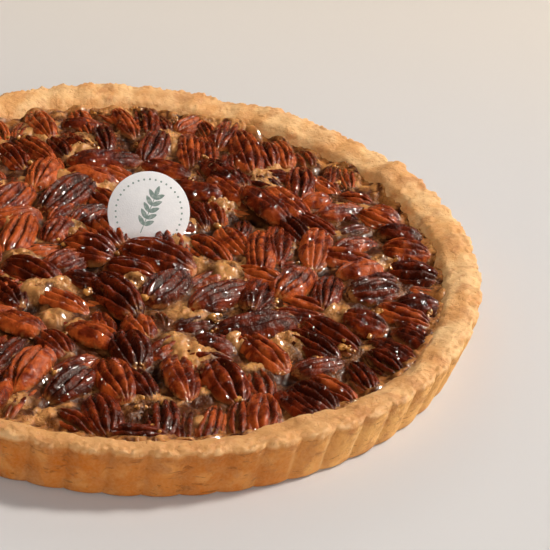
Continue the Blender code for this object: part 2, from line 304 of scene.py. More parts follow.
nutsByEye = [  # x, y, heading in degrees, length and width, in millimetres
    (36, 52, -60, 28, 12), (24, 48, -15, 22, 13), (9, 67, -25, 24, 12), (-18, 71, 15, 32, 14),
    (34, 66, -55, 33, 14), (-44, 56, 80, 31, 13), (-50, 78, -52, 27, 11), (-22, 21, 48, 20, 12),
    (-33, 37, 58, 32, 16), (-56, 30, 62, 26, 14), (-50, 2, 80, 30, 13), (-35, 8, 70, 20, 12),
    (-50, -40, -60, 21, 11), (-42, -26, -32, 25, 15), (-30, -43, -35, 25, 12), (-22, -29, -8, 16, 9),
    (-9, -37, -57, 31, 16), (11, -29, 58, 27, 15), (-4, -19, -18, 21, 14), (-21, -5, -18, 21, 15),
    (28, 2, -48, 24, 13), (7, -8, -25, 31, 17), (23, 30, -72, 22, 10), (42, 21, 80, 15, 8),
    (52, 37, -48, 30, 15), (49, 1, 86, 36, 12), (22, -53, 22, 19, 9), (33, -33, 42, 32, 14),
    (45, -54, 18, 33, 15), (9, -51, -70, 13, 9), (63, 22, -62, 23, 12), (62, 42, -55, 27, 13),
    (74, 27, -42, 24, 10), (72, 8, 80, 31, 13), (75, -25, 78, 25, 11), (62, -20, 58, 25, 14),
    (62, -44, -8, 20, 9), (65, -35, -20, 21, 12), (75, -55, -42, 27, 14), (47, -69, -52, 27, 13),
    (29, -67, -8, 17, 12), (1, -58, -70, 16, 12), (-13, -56, -70, 15, 9), (-2, -74, -76, 21, 15),
    (-16, -66, -35, 22, 13), (-43, -63, -28, 19, 13), (-30, -72, -50, 17, 12), (17, -88, -80, 26, 13),
    (33, -90, -67, 25, 15), (-37, -88, 75, 28, 14), (-22, -97, 52, 22, 13), (2, -93, -65, 21, 11),
    (-10, -113, -75, 22, 13), (3, -123, 4, 21, 9), (3, 88, 75, 28, 13), (-20, -117, -40, 21, 12),
    (11, -112, -92, 20, 12), (19, -116, -94, 22, 9), (28, -114, -102, 23, 10), (38, -111, -92, 22, 10),
    (46, -107, -92, 22, 12), (84, -80, -70, 20, 10), (94, -71, -50, 19, 11), (98, -63, -46, 24, 12),
    (72, -91, -42, 21, 12), (65, -96, -48, 20, 13), (106, -53, -42, 18, 11), (19, 86, -88, 31, 11),
    (27, 89, -84, 25, 10), (45, 90, -80, 36, 14), (62, 92, -82, 27, 11), (73, 87, -73, 18, 11),
    (84, 74, -96, 20, 8), (91, 73, -89, 23, 10), (58, 70, -7, 14, 9), (69, 63, -93, 26, 12),
    (75, 49, 21, 14, 12), (93, 54, -10, 15, 9), (86, 40, 22, 25, 11), (104, 40, -29, 15, 12),
    (89, 25, 26, 18, 9), (110, 25, -19, 19, 12), (90, 14, 28, 20, 11), (111, 11, -11, 19, 13),
    (90, -7, 21, 19, 12), (112, -6, -12, 21, 14), (94, -22, 22, 22, 13), (115, -18, -16, 15, 8),
    (111, -30, -4, 18, 13), (88, -45, -21, 18, 14), (107, -46, -37, 15, 8), (-59, 68, -57, 22, 12),
    (-49, 101, -68, 25, 12), (-40, 82, -65, 22, 11), (-32, 88, -57, 24, 11), (-30, 106, -71, 25, 10),
    (-20, 92, -78, 24, 11), (-13, 86, -74, 21, 8), (-11, 109, -66, 26, 10), (6, 112, -71, 18, 8),
    (19, 113, 52, 17, 10), (27, 109, -72, 16, 9), (-67, 91, -70, 20, 9), (-19, 112, -44, 16, 8),
]
nutRings = [
    {"radius": 114, "count": 56, "lean": 0, "spread": 10, "length": 25.5, "wide": 0.49, "pitch": 4},
    {"radius": 89.5, "count": 43, "lean": 14, "spread": 14, "length": 27, "wide": 0.5, "pitch": 7},
]
ringShare = 0.42  # least distance of two core lines, as a share of the mean width
fillNuts = {"tries": 4000, "reach": 113, "length": 23, "share": 0.46}
fillBits = {"tries": 3000, "reach": 119, "length": 15, "share": 0.6}
endReach = 0.32  # half of a nut's core line, as a share of its length
faceUpShare = 0.16


def spotEnds(spot):
    half = endReach * spot["length"]
    heading = math.radians(spot["heading"])
    step = Vector((math.cos(heading), math.sin(heading))) * half
    centre = Vector((spot["x"], spot["y"]))
    return centre - step, centre + step


def pointToLine(point, start, end):
    along = end - start
    share = max(0.0, min(1.0, (point - start).dot(along) / along.length_squared))
    return (point - start - along * share).length


def nutDistance(first, second):
    startA, endA = spotEnds(first)
    startB, endB = spotEnds(second)
    return min(pointToLine(startA, startB, endB), pointToLine(endA, startB, endB),
               pointToLine(startB, startA, endA), pointToLine(endB, startA, endA))


def overlap(first, second):
    room = (first["width"] + second["width"]) / 2
    return 1 - nutDistance(first, second) / room


def isClear(spot, spots, share):
    return all(overlap(spot, other) < 1 - share for other in spots)


def nutSpots():
    rng = random.Random(28)
    spots = []

    def spotAt(x, y, heading, length, width, pitch, kind):
        return dict(x=x, y=y, heading=heading, length=length, width=width, pitch=pitch, kind=kind,
                    roll=rng.uniform(-1, 1) * pie["nutRoll"], shade=rng.random())

    for x, y, heading, length, width in nutsByEye:
        spots.append(spotAt(x, y, heading, length, width, rng.uniform(-7, 7), "back"))
    for ring in nutRings:
        placed = list(spots)
        for index in range(ring["count"]):
            angle = turn * (index + rng.uniform(-0.2, 0.2)) / ring["count"]
            radius = ring["radius"] + rng.uniform(-2.5, 2.5)
            heading = math.degrees(angle) + ring["lean"] + rng.uniform(-1, 1) * ring["spread"]
            length = ring["length"] * rng.uniform(0.85, 1.12)
            width = length * ring["wide"] * rng.uniform(0.92, 1.08)
            pitch = -ring["pitch"] + rng.uniform(-6, 6)
            kind = "face" if rng.random() < faceUpShare else "back"
            x = radius * math.cos(angle) + pie["insideShift"].x / mm
            y = radius * math.sin(angle) + pie["insideShift"].y / mm
            spot = spotAt(x, y, heading, length, width, pitch, kind)
            if isClear(spot, placed, ringShare):
                spots.append(spot)
    for batch, kind in ((fillNuts, "back"), (fillBits, "bit")):
        for _ in range(batch["tries"]):
            radius = batch["reach"] * math.sqrt(rng.random())
            angle = rng.uniform(0, turn)
            length = batch["length"] * rng.uniform(0.8, 1.15)
            spot = spotAt(radius * math.cos(angle), radius * math.sin(angle), rng.uniform(0, 360),
                          length, length * rng.uniform(0.5, 0.62), rng.uniform(-8, 8), kind)
            if isClear(spot, spots, batch["share"]):
                spots.append(spot)
    for index, spot in enumerate(spots):
        under = [overlap(spot, other) for other in spots[index + 1:]]
        spot["lift"] = max([0.0] + under) * pie["stackLift"]
    return spots


def spotPlace(spot):
    foot = pie["fillLevel"] - pie["sink"] + spot["lift"] * mm
    return (Matrix.Translation((spot["x"] * mm, spot["y"] * mm, foot))
            @ Matrix.Rotation(math.radians(spot["heading"]), 4, "Z")
            @ Matrix.Rotation(math.radians(spot["pitch"]), 4, "Y")
            @ Matrix.Rotation(math.radians(spot["roll"]), 4, "X"))


spots = nutSpots()
print("nuts placed:", len(spots))


# Pastry case

def makeWaves(seed, lowest, highest, count):
    rng = random.Random(seed)
    return [(rng.randint(lowest, highest), rng.uniform(0, turn), rng.uniform(0.5, 1)) for _ in range(count)]


def wobble(waves, angle):
    total = sum(size for _, _, size in waves)
    return sum(size * np.sin(times * angle + start) for times, start, size in waves) / total


def addBumps(bumps, angle):
    total = np.zeros(len(angle))
    for degrees, half, size in bumps:
        away = np.abs((np.degrees(angle) - degrees + 180) % 360 - 180)
        total = total + size * mm * (1 + np.cos(math.pi * np.minimum(1, away / half))) / 2
    return total


slowWaves = makeWaves(3, 2, 9, 4)
quickWaves = makeWaves(5, 24, 70, 6)
innerWaves = makeWaves(8, 12, 48, 6)

crust = {
    "columns": 1024,
    "reach": 139.5 * mm,
    "lumpSize": 8 * mm, "lumpDepth": 0.55 * mm,
    "cragSize": 2.0 * mm, "cragDepth": 0.65 * mm,
    "flakeSize": 2.2 * mm, "flakeDepth": 0.6 * mm,
    "slowShare": 0.6,  # of the slow waves in the rim's rise and fall
    # Heights over which each look sets in
    "roughHeight": (1.5 * mm, 6 * mm),
    "topHeight": (18.4 * mm, 20.2 * mm),
    "underLipHeight": (13 * mm, 18.5 * mm),
    "ridgeHighlightHeight": (1 * mm, 4 * mm),
    "innerFoot": 6 * mm,
    # Radii over which each look sets in, or ends for the two inner ones
    "roughRadius": (118 * mm, 122 * mm),
    "outerEdgeRadius": (134 * mm, 138 * mm),
    "lipRadius": (137.4 * mm, 139.2 * mm),
    "innerWallRadius": (126.5 * mm, 131 * mm),
    "innerLipRadius": (129 * mm, 132 * mm),
    # Distances across the pie, for what differs from one side to the other: the darker front left top,
    # painted light on the sunny side and the painted ridge highlight
    "frontLeftDarkerSide": (20 * mm, 110 * mm),
    "sunnySide": (70 * mm, 120 * mm),
    "ridgeHighlightSide": (-25 * mm, 40 * mm),
    "ridgeHighlightShift": 0.022,  # radians from a notch to the painted highlight line beside it
    "ridgeHighlightWidth": (0.74, 0.97),
    # Places where the rim stands higher or lower, and where its inner edge lies further out or in:
    # angle and half width in degrees, rise or shift in millimetres
    "swells": [(100, 20, 1.6), (74, 9, -1.5), (62, 6, 1.5), (32, 8, 2.0), (8, 14, 1.0)],
    "edgeShifts": [(-92, 26, 3.0), (-62, 11, -4.0), (-36, 8, 2.5)],
    # Stops of the cross-section: rows up to it, radius, height, then shares of flute, lump and shift
    "stops": [
        (0, 0, 0, 0, 0, 1),
        (2, 125 * mm, 0, 0, 0, 1),
        (2, 135.0 * mm, 0, 0.6, 0, 1),
        (2, 135.5 * mm, 0.9 * mm, 0.6, 0, 1),
        (18, 139.3 * mm, 18.2 * mm, 1, 0.4, 0),
        (3, 139.4 * mm, 20.4 * mm, 0.95, 0.7, 0),
        (3, 138.5 * mm, 21.1 * mm, 0.75, 0.9, 0),
        (8, 133.4 * mm, 21.4 * mm, 0.15, 1, 0.3),
        (7, 127.4 * mm, 19.5 * mm, 0, 0.8, 1),
        (6, 124.7 * mm, 16.1 * mm, 0, 0.1, 1),
        (5, 122.1 * mm, 11.8 * mm, 0, 0, 1),
        (2, 118.1 * mm, 5 * mm, 0, 0, 1),
        (2, 0, 5 * mm, 0, 0, 1),
    ],
}


def crustRows():
    rows = [crust["stops"][0][1:]]
    for first, second in zip(crust["stops"], crust["stops"][1:]):
        for step in range(1, second[0] + 1):
            share = step / second[0]
            rows.append([a + (b - a) * share for a, b in zip(first[1:], second[1:])])
    rows = np.array(rows)
    for _ in range(2):  # rounds the corners of the section
        inner = rows[4:-4]
        rows[4:-4] = (rows[3:-5] + 2 * inner + rows[5:-3]) / 4
    return rows


def makeCrustShell():
    # A grid whose columns run round the pie and whose rows follow the section
    rows = crustRows()
    deselectAll()
    bpy.ops.mesh.primitive_grid_add(x_subdivisions=crust["columns"], y_subdivisions=len(rows) - 1, size=1)
    case = bpy.context.object
    flat = readPoints(case)
    angle = turn * (flat[:, 0] + 0.5)
    row = np.rint((flat[:, 1] + 0.5) * (len(rows) - 1)).astype(int)
    radius, height, fluteShare, lumpShare, shiftShare = rows[row].T

    swell = np.abs(np.cos(pie["fluteCount"] * angle / 2)) ** pie["scallopPower"]
    waves = crust["slowShare"] * wobble(slowWaves, angle) + wobble(quickWaves, angle)
    lumps = addBumps(crust["swells"], angle) + pie["rimLump"] * waves
    above = np.clip((height - pie["fillLevel"]) / (pie["rimHeight"] - pie["fillLevel"]), 0, 1)
    inside = smoothFall(radius, *crust["innerWallRadius"]) * (height > pie["floorThickness"])
    ripple = pie["wallRipple"] * wobble(innerWaves, angle) + addBumps(crust["edgeShifts"], angle)
    radius = radius + fluteShare * pie["fluteDepth"] * (swell - 1)
    radius = radius + inside * above * ripple
    height = height + lumpShare * lumps
    points = np.column_stack((radius * np.cos(angle), radius * np.sin(angle), height))
    writePoints(case, points + shiftShare[:, None] * np.array(pie["insideShift"]))
    weldSeams(case)
    return case


def notches(points, shift=0.0):
    # 1 in the notches between the flutes, 0 on their crests
    angle = np.arctan2(points[:, 1], points[:, 0]) + shift
    return 1 - np.abs(np.cos(pie["fluteCount"] * angle / 2))


def makeCrust():
    case = makeCrustShell()
    points = readPoints(case)
    reach = np.hypot(points[:, 0], points[:, 1])
    rough = smoothStep(points[:, 2], *crust["roughHeight"]) * smoothStep(reach, *crust["roughRadius"])
    top = smoothStep(points[:, 2], *crust["topHeight"])
    # Painted shade: the valley mark darkens the wall in the flute notches
    valley = notches(points)
    lump = roughen(points, crust["lumpSize"], 1, 2)
    crag = roughen(points, crust["cragSize"], 2, 3)
    flake = np.maximum(0, roughen(points, crust["flakeSize"], 3, 3) - 0.1)
    outerEdge = top * smoothStep(reach, *crust["outerEdgeRadius"])
    push = (crust["lumpDepth"] * lump * (0.35 + 0.65 * top)
            + crust["cragDepth"] * crag * (0.5 + outerEdge)
            + crust["flakeDepth"] * flake * (0.1 + 1.4 * outerEdge))
    pushOut(case, rough * push)
    points = readPoints(case)
    pull = np.minimum(1, crust["reach"] / np.maximum(np.hypot(points[:, 0], points[:, 1]), mm))
    points[:, :2] *= pull[:, None]
    points[:, 2] = np.maximum(points[:, 2], 0)
    writePoints(case, points)

    x, y, z = points.T
    inner = smoothFall(reach, *crust["innerLipRadius"]) * (z > crust["innerFoot"])
    # Painted highlight: a thin pale line beside each flute notch, like a lit ridge, fading in towards the
    # right front
    ridgeHighlight = smoothStep(notches(points, crust["ridgeHighlightShift"]), *crust["ridgeHighlightWidth"])
    ridgeHighlight = ridgeHighlight * smoothStep(z, *crust["ridgeHighlightHeight"])
    sunny = smoothStep(x - 0.25 * y, *crust["sunnySide"])
    marks = {
        "top": np.maximum(top, inner),
        "raised": smoothStep(lump + 0.5 * crag, -0.35, 0.6),
        # Painted highlight: cream along the raised flakes of the outer lip
        "lipHighlight": top * smoothStep(reach, *crust["lipRadius"]) * smoothStep(lump + crag, -0.5, 0.5),
        "underLip": smoothStep(z, *crust["underLipHeight"]) * (1 - top),
        "valley": valley,
        "ridgeHighlight": ridgeHighlight * smoothStep(x + 0.4 * y, *crust["ridgeHighlightSide"]),
        # The top is darker towards the front left
        "frontLeftDarker": smoothStep(-y - 0.3 * x, *crust["frontLeftDarkerSide"]),
        # Painted light: paler on the sunny right front, where the key light falls; raised lumps are paler too
        "paler": np.clip(sunny + 0.35 * smoothStep(lump, 0, 0.6), 0, 1),
    }
    for name, values in marks.items():
        writeMark(case, name, values)
    giveName(case, "crust_case")
    shadeRound(case)
    return case


def makePastryMaterial():
    material, tree, shader = newMaterial("bakedPastry")
    pale = (0.85, 0.52, 0.235)
    golden = (0.72, 0.345, 0.115)
    browningAndShade = (0.42, 0.15, 0.04)
    wallBrown = (0.54, 0.148, 0.016)
    wallPale = (0.86, 0.46, 0.15)
    ridgeHighlightColour = (0.90, 0.60, 0.27)
    crackBrown = (0.26, 0.085, 0.02)
    frontLeftDarker = (0.58, 0.27, 0.085)
    bakedBrown = (0.56, 0.235, 0.07)
    blotBrown = (0.50, 0.19, 0.06)
    mottleBrown = (0.56, 0.25, 0.08)
    speckBrown = (0.50, 0.19, 0.05)
    cream = (0.86, 0.56, 0.29)
    patches = addPatches(tree, 75, 0.36, 0.64, 4)
    blots = addPatches(tree, 120, 0.50, 0.66, 5, 0.6)
    baked = addPatches(tree, 38, 0.48, 0.66, 5, 0.5)
    specks = addPatches(tree, 420, 0.62, 0.72, 4, 0.4)
    grain = addPatches(tree, 900, 0.35, 0.65, 3)
    cracks = addPatches(tree, 210, 0.60, 0.68, 5, 0.8, 3.2)
    mottle = addPatches(tree, 240, 0.50, 0.68, 5, 0.4)
    pits = addPatches(tree, 480, 0.28, 0.42, 5, 1.2)

    # Painted light: the wall goes from brown to pale by the paler mark, pale on the sunny right front
    wall = addMix(tree, addMark(tree, "paler"), wallBrown, wallPale)
    wall = addTint(tree, wall, patches, 0.18, wallPale)
    # Painted shade in the flute notches; the same brown also gives real browned blots and darker patches
    # under the lip
    wall = addTint(tree, wall, addMark(tree, "valley"), 0.35, browningAndShade)
    wall = addTint(tree, wall, blots, 0.35, browningAndShade)
    wall = addTint(tree, wall, cracks, 0.6, crackBrown)
    under = addProduct(tree, addMark(tree, "underLip"), addPatches(tree, 260, 0.40, 0.62, 5, 0.5))
    wall = addTint(tree, wall, under, 0.55, browningAndShade)
    # Painted highlight along the flute ridges
    wall = addTint(tree, wall, addMark(tree, "ridgeHighlight"), 0.5, ridgeHighlightColour)

    colour = addMix(tree, patches, golden, pale)
    # Darker on the top towards the front left
    colour = addTint(tree, colour, addMark(tree, "frontLeftDarker"), 0.8, frontLeftDarker)
    colour = addTint(tree, colour, baked, 0.5, bakedBrown)
    side = addMath(tree, "SUBTRACT", 1.0, addMark(tree, "top"), True)
    colour = addMix(tree, side, colour, wall)
    toast = addProduct(tree, addMath(tree, "ADD", addMark(tree, "raised"), 0.4), blots, True)
    colour = addTint(tree, colour, toast, 0.6, blotBrown)
    colour = addTint(tree, colour, mottle, 0.3, mottleBrown)
    colour = addTint(tree, colour, specks, 0.45, speckBrown)
    # Painted highlight: cream on the outer lip's raised flakes
    colour = addTint(tree, colour, addMark(tree, "lipHighlight"), 0.5, cream)
    colour = addTint(tree, colour, grain, 0.08, cream)
    connect(tree, colour, shader.inputs["Base Color"])

    height = addMath(tree, "ADD", addProduct(tree, pits, 0.8), addProduct(tree, grain, 0.25))
    height = addMath(tree, "SUBTRACT", height, addProduct(tree, cracks, side))
    height = addMath(tree, "ADD", height, addProduct(tree, mottle, 0.8))
    connect(tree, addBump(tree, height, 0.32 * mm, 0.75), shader.inputs["Normal"])
    setSockets(shader, {
        "Roughness": 0.72, "Specular IOR Level": 0.05,
        "Subsurface Weight": 0.08, "Subsurface Radius": (1.0, 0.5, 0.25), "Subsurface Scale": 2 * mm,
    })
    return material


finishPiece(makeCrust(), makePastryMaterial(), "crust", "crust")
print("crust done")


# Custard between the nuts

custard = {
    "reach": 126.6 * mm,
    "cells": 300,
    "floor": 5.6 * mm, "skirtShare": 0.94,
    "lowest": 9 * mm, "highest": 19.5 * mm,
    "meniscus": 1.9 * mm, "meniscusReach": 1.5, "filmReach": 1.6,  # reaches in millimetres
    "unevenSize": 13 * mm, "uneven": 1.5 * mm,
    "fineSize": 2.6 * mm, "fine": 0.6 * mm,
    "rimRise": 2.4 * mm, "rimRadius": (121 * mm, 126 * mm),
    "edgeRadius": (115 * mm, 122 * mm),
    "deepHeight": (pie["fillLevel"] - 0.4 * mm, pie["fillLevel"] + 1.1 * mm),
    # Painted light: the custard is paler towards the back
    "palerSide": (20 * mm, 90 * mm), "palerShare": 0.25,
    # Pale thick blobs that cling between the nuts: x, y, radius and rise in millimetres
    "blobs": [
        (24, -10, 5, 5.0), (34, -13, 6, 4.0), (20, -45, 8, 2.2), (-39, -38, 6, 5.0), (-30, -34, 5, 4.0),
        (-31, -56, 5, 4.0), (-52, 13, 6, 4.5), (-47, -17, 7, 4.0), (-2, -28, 6, 4.0), (-19, 46, 8, 3.5),
        (-32, 54, 8, 3.5), (35, 39, 6, 4.0), (-29, 10, 6, 3.5), (22, -73, 9, 2.5), (38, -64, 5, 4.5),
        (15, 6, 5, 2.5), (37, -21, 8, 2.5), (57, -62, 8, 3.0), (78, -38, 6, 3.0), (100, 0, 6, 3.5),
        (8, 98, 9, 2.5), (-30, 80, 6, 3.0), (-40, -108, 5, 2.0), (14, -66, 6, 2.5), (51, 66, 5, 4.0),
    ],
}


def nutCloseness(x, y):
    # Distance in millimetres from the nearest nut's outline, below zero inside it
    nearest = np.full(len(x), 99.0)
    for spot in spots:
        heading = math.radians(spot["heading"])
        dx = x / mm - spot["x"]
        dy = y / mm - spot["y"]
        along = dx * math.cos(heading) + dy * math.sin(heading)
        across = -dx * math.sin(heading) + dy * math.cos(heading)
        ratio = np.sqrt((along / (spot["length"] / 2)) ** 2 + (across / (spot["width"] / 2)) ** 2)
        nearest = np.minimum(nearest, (ratio - 1) * spot["width"] / 2)
    return nearest


def closeUnderside(fill):
    # Drops a skirt from the edge and fills it
    centre = (*pie["insideShift"].xy, custard["floor"])
    narrow = custard["skirtShare"]
    makeActive(fill)
    bpy.ops.object.mode_set(mode="EDIT")
    bpy.ops.mesh.select_all(action="DESELECT")
    bpy.ops.mesh.select_non_manifold()
    bpy.ops.mesh.extrude_edges_move()
    bpy.ops.transform.resize(value=(narrow, narrow, 0), center_override=centre)
    bpy.ops.mesh.edge_face_add()
    bpy.ops.mesh.select_all(action="SELECT")
    bpy.ops.mesh.normals_make_consistent(inside=False)
    bpy.ops.object.mode_set(mode="OBJECT")


def makeCustard():
    deselectAll()
    cells = custard["cells"]
    bpy.ops.mesh.primitive_grid_add(x_subdivisions=cells, y_subdivisions=cells, size=2)
    fill = bpy.context.object
    flat = readPoints(fill)
    x = flat[:, 0] * np.sqrt(1 - flat[:, 1] ** 2 / 2) * custard["reach"]  # the square laid onto a disc
    y = flat[:, 1] * np.sqrt(1 - flat[:, 0] ** 2 / 2) * custard["reach"]
    radius = np.hypot(x, y)
    x = x + pie["insideShift"].x
    y = y + pie["insideShift"].y
    plane = np.column_stack((x, y, np.zeros(len(x))))
    closeness = nutCloseness(x, y)
    beside = np.maximum(closeness, 0)
    rim = smoothStep(radius, *custard["rimRadius"])
    uneven = roughen(plane, custard["unevenSize"], 4, 2)
    fine = roughen(plane, custard["fineSize"], 5, 3)
    height = pie["fillLevel"] + custard["uneven"] * uneven + custard["fine"] * fine
    height = height + custard["meniscus"] * np.exp(-beside / custard["meniscusReach"])
    height = height + custard["rimRise"] * rim
    # Painted light: paler towards the back, added to the uneven pale patches
    paler = custard["palerShare"] * smoothStep(y, *custard["palerSide"])
    pale = smoothStep(uneven + 0.35 * fine + paler, 0.34, 0.74)
    pale = np.maximum(pale, 0.7 * rim * smoothStep(fine, -0.3, 0.4))
    for blobX, blobY, size, rise in custard["blobs"]:
        away = np.hypot(x / mm - blobX, y / mm - blobY) / size
        bulge = np.exp(-(away * (1 + 0.35 * fine)) ** 4)
        height = height + bulge * rise * mm * (0.75 + 0.5 * fine)
        pale = np.maximum(pale, bulge)
    height = np.clip(height, custard["lowest"], custard["highest"])
    writePoints(fill, np.column_stack((x, y, height)))
    edge = smoothStep(radius, *custard["edgeRadius"])
    writeMark(fill, "pale", pale)
    writeMark(fill, "film", np.exp(-beside / custard["filmReach"]))
    # Painted shade: the low custard between the nuts is marked to be painted near black, except near the rim
    writeMark(fill, "deep", smoothFall(height, *custard["deepHeight"]) * (1 - edge))
    writeMark(fill, "edge", edge * smoothStep(fine, -0.6, 0.3))
    closeUnderside(fill)
    giveName(fill, "custard_fill")
    shadeRound(fill, 60)
    return fill


def makeCustardMaterial():
    material, tree, shader = newMaterial("caramelCustard")
    paintedGapShade = (0.009, 0.0018, 0.0005)
    amber = (0.055, 0.012, 0.0025)
    filmAmber = (0.060, 0.013, 0.003)
    tan = (0.27, 0.100, 0.028)
    cream = (0.58, 0.265, 0.085)
    rimOrange = (0.36, 0.125, 0.026)
    patches = addPatches(tree, 150, 0.42, 0.62, 5, 0.6)
    colour = addMix(tree, patches, amber, tan)
    film = addProduct(tree, addMark(tree, "film"), addPatches(tree, 140, 0.22, 0.50, 4))
    colour = addTint(tree, colour, film, 0.85, filmAmber)
    # Painted shade: near black in the low gaps between the nuts
    colour = addMix(tree, addMark(tree, "deep"), colour, paintedGapShade)
    # Lighter orange in patches near the rim
    colour = addTint(tree, colour, addMark(tree, "edge"), 0.75, rimOrange)
    pale = addProduct(tree, addMark(tree, "pale"), addPatches(tree, 160, 0.25, 0.55, 4), True)
    colour = addMix(tree, pale, colour, cream)
    connect(tree, colour, shader.inputs["Base Color"])

    bubbles = addNode(tree, "ShaderNodeTexVoronoi", feature="F1")
    setSockets(bubbles, {"Scale": 420})
    connect(tree, addObjectPlace(tree), bubbles.inputs["Vector"])
    froth = addStep(tree, bubbles.outputs["Distance"], 0.0, 0.6)
    foam = addProduct(tree, froth, addPatches(tree, 60, 0.50, 0.64))
    grit = addPatches(tree, 520, 0.35, 0.65, 3, 0.5)
    crumb = addProduct(tree, grit, addPatches(tree, 90, 0.48, 0.60))
    height = addMath(tree, "ADD", addProduct(tree, patches, 0.5), foam)
    height = addMath(tree, "ADD", height, crumb)
    connect(tree, addBump(tree, height, 0.6 * mm, 0.7), shader.inputs["Normal"])
    setSockets(shader, {
        "Roughness": 0.45, "Specular IOR Level": 0.03,
        "Coat Weight": 0.5, "Coat IOR": 1.4, "Coat Roughness": 0.07,
        "Subsurface Weight": 0.15, "Subsurface Radius": (1.0, 0.4, 0.12), "Subsurface Scale": 2.5 * mm,
    })
    return material


finishPiece(makeCustard(), makeCustardMaterial(), "pecan_filling", "pecan_filling")
print("custard done")


# Pecan halves: a few models, copied to every spot

pecan = {
    "segments": 44,
    "rings": 40,
    "crowding": 0.45,  # how much closer the segments lie on the upper side
    "tipPower": 2.7, "tipBluntness": 0.60, "taper": 0.10, "sidePower": 0.86,
    "archPower": 2.6, "fullness": 0.78, "faceUpFullness": 0.45,
    "belly": 0.10,
    "snapAt": 0.22, "snapRagged": 0.10,  # of half a length, from the middle
    "striations": 11, "striationDepth": 0.022,
    "larger": 1.14,  # than the solid's nut, lengthways and across
    "paintedLightFall": 0.16,  # how much the tone falls from the back left to the front right: painted light, the back left nuts lighter as if lit more
    "skinSize": 3.6 * mm, "skinDepth": 0.50 * mm,
    "wrinkleSize": 1.3 * mm, "wrinkleDepth": 0.10 * mm,
    "longBelow": 0.45,  # width over length under which a nut takes the long model
    "picks": [("plump", 0.28), ("ribbed", 0.55), ("split", 0.77), ("curved", 1)],  # by shade
    # Grooves along each model: place across, depth and width
    "models": {
        "long": {"seed": 1, "grooves": [
            (-0.62, 0.20, 0.08), (-0.18, 0.36, 0.09), (0.28, 0.34, 0.09), (0.68, 0.18, 0.07)]},
        "plump": {"seed": 2, "grooves": [(-0.50, 0.28, 0.09), (0.02, 0.38, 0.10), (0.48, 0.30, 0.09)]},
        "ribbed": {"seed": 5, "grooves": [
            (-0.66, 0.20, 0.08), (-0.26, 0.32, 0.09), (0.16, 0.38, 0.09), (0.58, 0.26, 0.08)]},
        "split": {"seed": 3, "grooves": [(0.04, 0.46, 0.11), (-0.48, 0.28, 0.09), (0.54, 0.26, 0.08)]},
        "curved": {"seed": 6, "grooves": [(-0.12, 0.42, 0.10), (-0.58, 0.24, 0.08), (0.36, 0.32, 0.09)]},
        "faceUp": {"seed": 4, "grooves": [(0.0, 0.42, 0.26), (-0.66, -0.06, 0.14), (0.66, -0.06, 0.14)]},
    },
}


def makePecanModel(name, snapped=False):
    look = pecan["models"][name]
    rng = random.Random(look["seed"])
    deselectAll()
    bpy.ops.mesh.primitive_uv_sphere_add(segments=pecan["segments"], ring_count=pecan["rings"], radius=1,
                                         rotation=(0, math.pi / 2, 0))
    nut = bpy.context.object
    applyPlace(nut)
    points = readPoints(nut)
    x = np.clip(points[:, 0], -1, 1)
    around = np.arctan2(points[:, 2], points[:, 1])
    around = around + pecan["crowding"] * np.cos(around)
    across = np.cos(around)
    rise = np.sin(around)
    snapAt = pecan["snapAt"]
    if snapped:
        x = np.minimum(x, snapAt)
    outline = (1 - np.abs(x) ** pecan["tipPower"]) ** pecan["tipBluntness"] * (1 - pecan["taper"] * x)
    arch = (1 - np.abs(x) ** pecan["archPower"]) ** 0.5
    fade = 1 - np.abs(x) ** 5
    groove = np.zeros(len(x))
    for place, depth, width in look["grooves"]:
        bend = place * (1 - 0.25 * x * x) + 0.06 * np.sin(3.2 * x + rng.uniform(0, turn))
        groove = groove + depth * np.exp(-((across - bend) / width) ** 2) * fade
    sway = across + 0.12 * np.sin(3 * x + look["seed"])
    groove = groove + pecan["striationDepth"] * np.sin(pecan["striations"] * sway) * fade
    upper = rise > 0
    lift = np.abs(rise) ** (pecan["faceUpFullness"] if name == "faceUp" else pecan["fullness"])
    z = np.where(upper, arch * lift * (1 - groove), -pecan["belly"] * arch * np.abs(rise))
    y = np.sign(across) * np.abs(across) ** pecan["sidePower"] * outline
    if snapped:
        face = (points[:, 0] > snapAt) * np.clip((points[:, 0] - snapAt) / (1 - snapAt), 0, 1)
        y = y * (1 - face ** 2)
        z = z * (1 - face ** 2) + 0.35 * face ** 2
        x = x + pecan["snapRagged"] * np.sin(across * 4 + 1) * (face > 0) * (1 - face)
    writePoints(nut, np.column_stack((x, y, z)))
    scuff = smoothStep(np.abs(x), 0.72, 1.0) + 0.5 * smoothFall(np.abs(rise), 0, 0.30)
    flesh = (points[:, 0] > snapAt + 0.04) * 1.0 if snapped else np.zeros(len(x))
    # Painted shade: the groove mark darkens the grooves and the whole underside
    writeMark(nut, "groove", np.clip(np.where(upper, groove * 2.6, 1), 0, 1))
    writeMark(nut, "scuff", np.clip(scuff, 0, 1))
    writeMark(nut, "flesh", flesh)
    weldSeams(nut, 0.0001)
    return nut


def pickModel(spot):
    if spot["kind"] == "face":
        return "faceUp"
    if spot["kind"] == "bit":
        return "snapped"
    if spot["width"] / spot["length"] < pecan["longBelow"]:
        return "long"
    return next(name for name, most in pecan["picks"] if spot["shade"] < most)


def placePecan(model, spot, facing):
    nut = copyObject(model)
    longways = pecan["larger"] * spot["length"] / 2 * mm
    sideways = pecan["larger"] * spot["width"] / 2 * mm
    tall = spot["width"] * pie["nutThickness"] * mm
    size = Matrix.Diagonal((longways, sideways, tall, 1))
    nut.matrix_world = spotPlace(spot) @ Matrix.Rotation(facing, 4, "Z") @ size
    # Painted light: the nuts are lighter towards the back left and darker towards the front right
    paintedLightFall = pecan["paintedLightFall"] * (0.8 * spot["y"] - spot["x"]) / 100
    writeMark(nut, "tone", np.full(len(nut.data.vertices), min(1, max(0, spot["shade"] + paintedLightFall))))
    return nut


